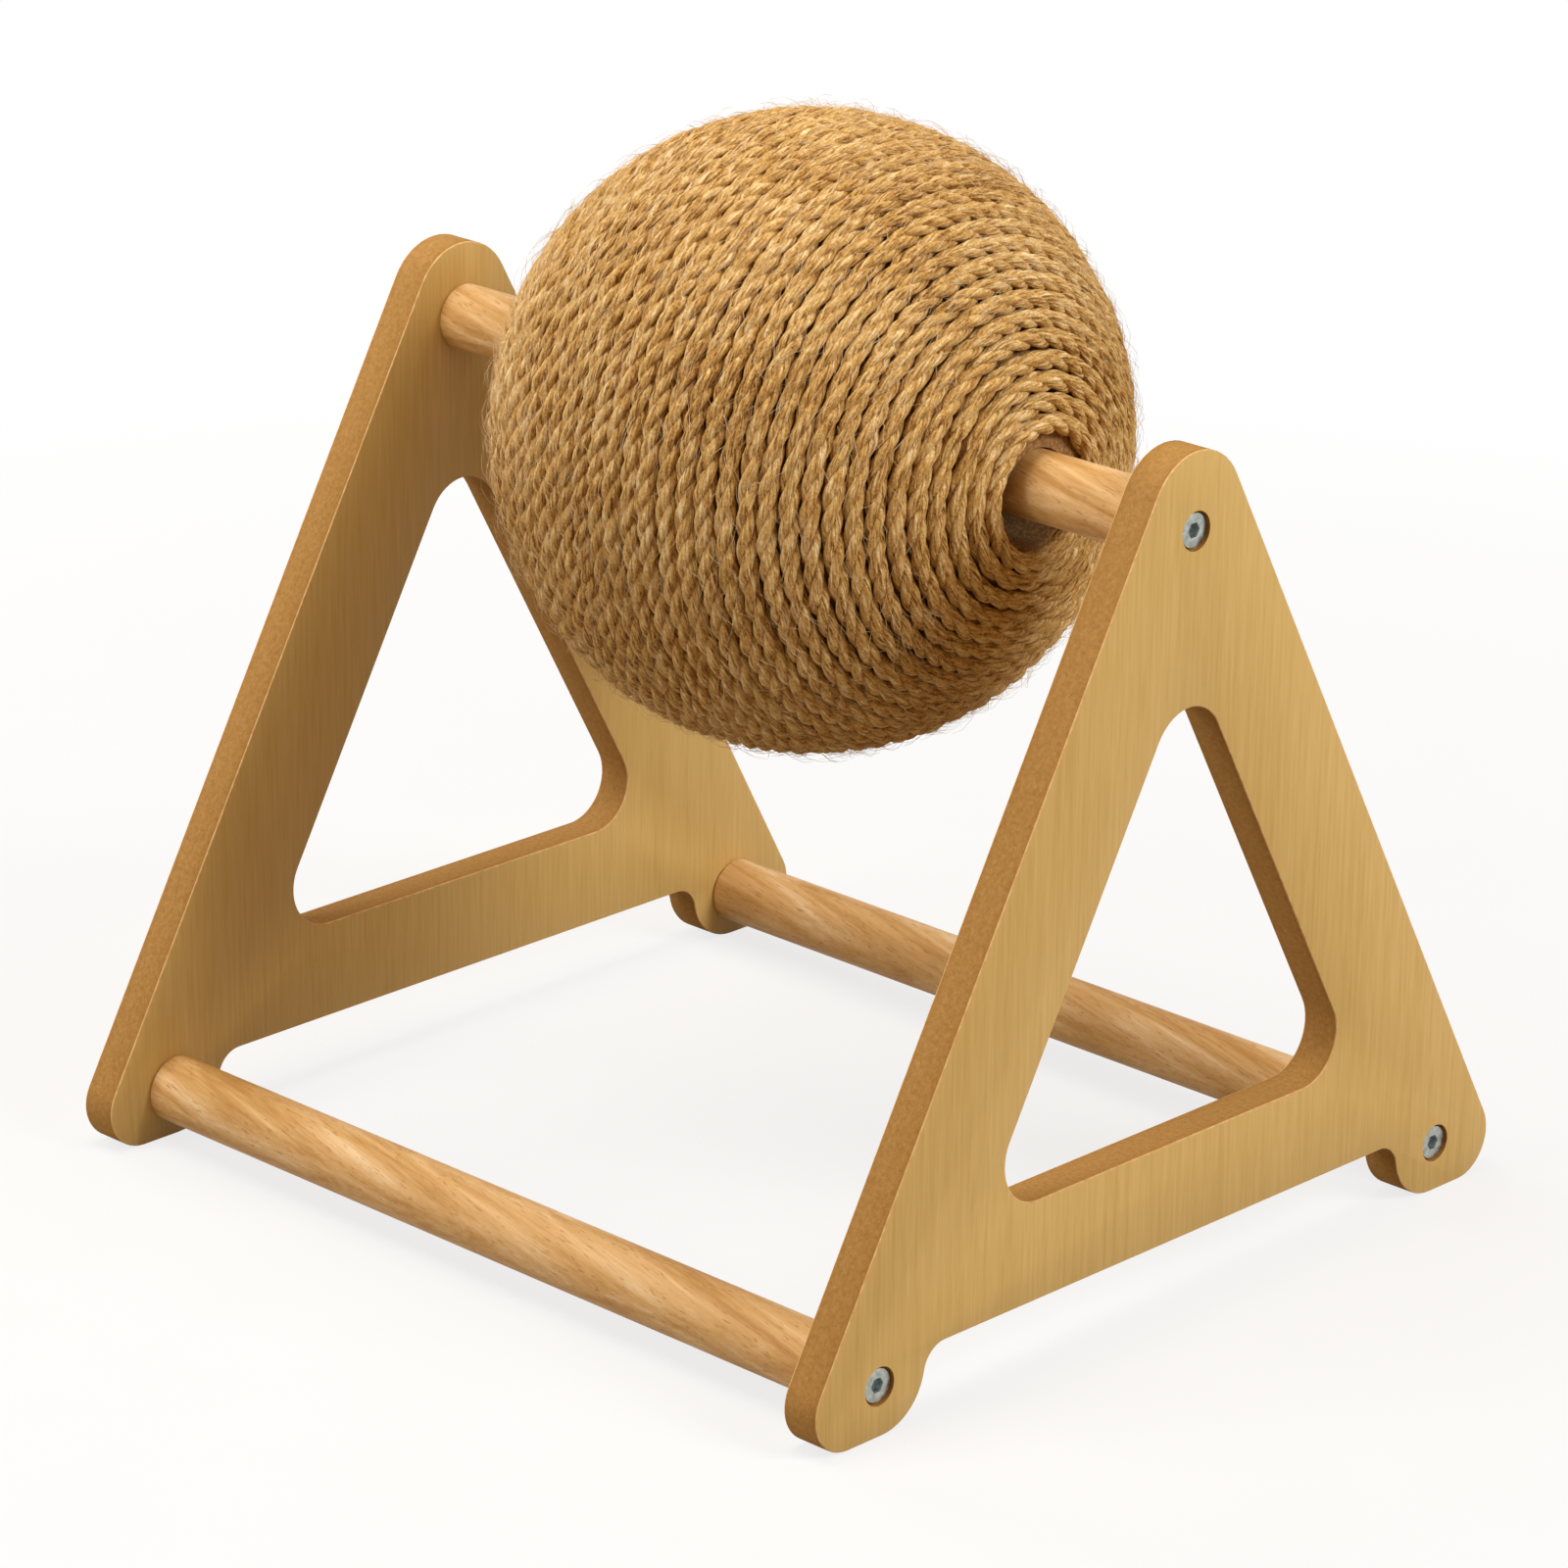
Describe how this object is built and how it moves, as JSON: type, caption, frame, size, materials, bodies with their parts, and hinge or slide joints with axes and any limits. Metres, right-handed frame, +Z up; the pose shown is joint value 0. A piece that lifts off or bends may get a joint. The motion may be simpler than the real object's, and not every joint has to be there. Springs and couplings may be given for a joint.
{
  "type": "cat scratching ball",
  "caption": "Rope-wound scratching ball that spins on a wooden axle between two A-shaped end panels joined by rails at the feet.",
  "frame": {"origin": "on the floor, midway between the two end panels and midway between the two rails", "axes": "+X along the axle towards the right end panel, +Y towards the rear rail, +Z up"},
  "size_m": [0.3, 0.286, 0.3178],
  "materials": {
    "panel_board": "satin",
    "dowel_wood": "satin",
    "zinc_screw": "satin",
    "core_foam": "matte",
    "jute_rope": "matte"
  },
  "bodies": {
    "stand": {"left_end_panel": "panel_board", "right_end_panel": "panel_board", "axle_dowel": "dowel_wood", "front_rail": "dowel_wood", "rear_rail": "dowel_wood", "panel_screws": "zinc_screw"},
    "ball": {"foam_core": "core_foam", "left_rope_winding": "jute_rope", "right_rope_winding": "jute_rope"}
  },
  "joints": [
    {"name": "ball_spin", "type": "hinge", "parent": "stand", "child": "ball", "pos_m": [0.0065, 0, 0.2258], "axis": [1, 0, 0], "continuous": true}
  ]
}
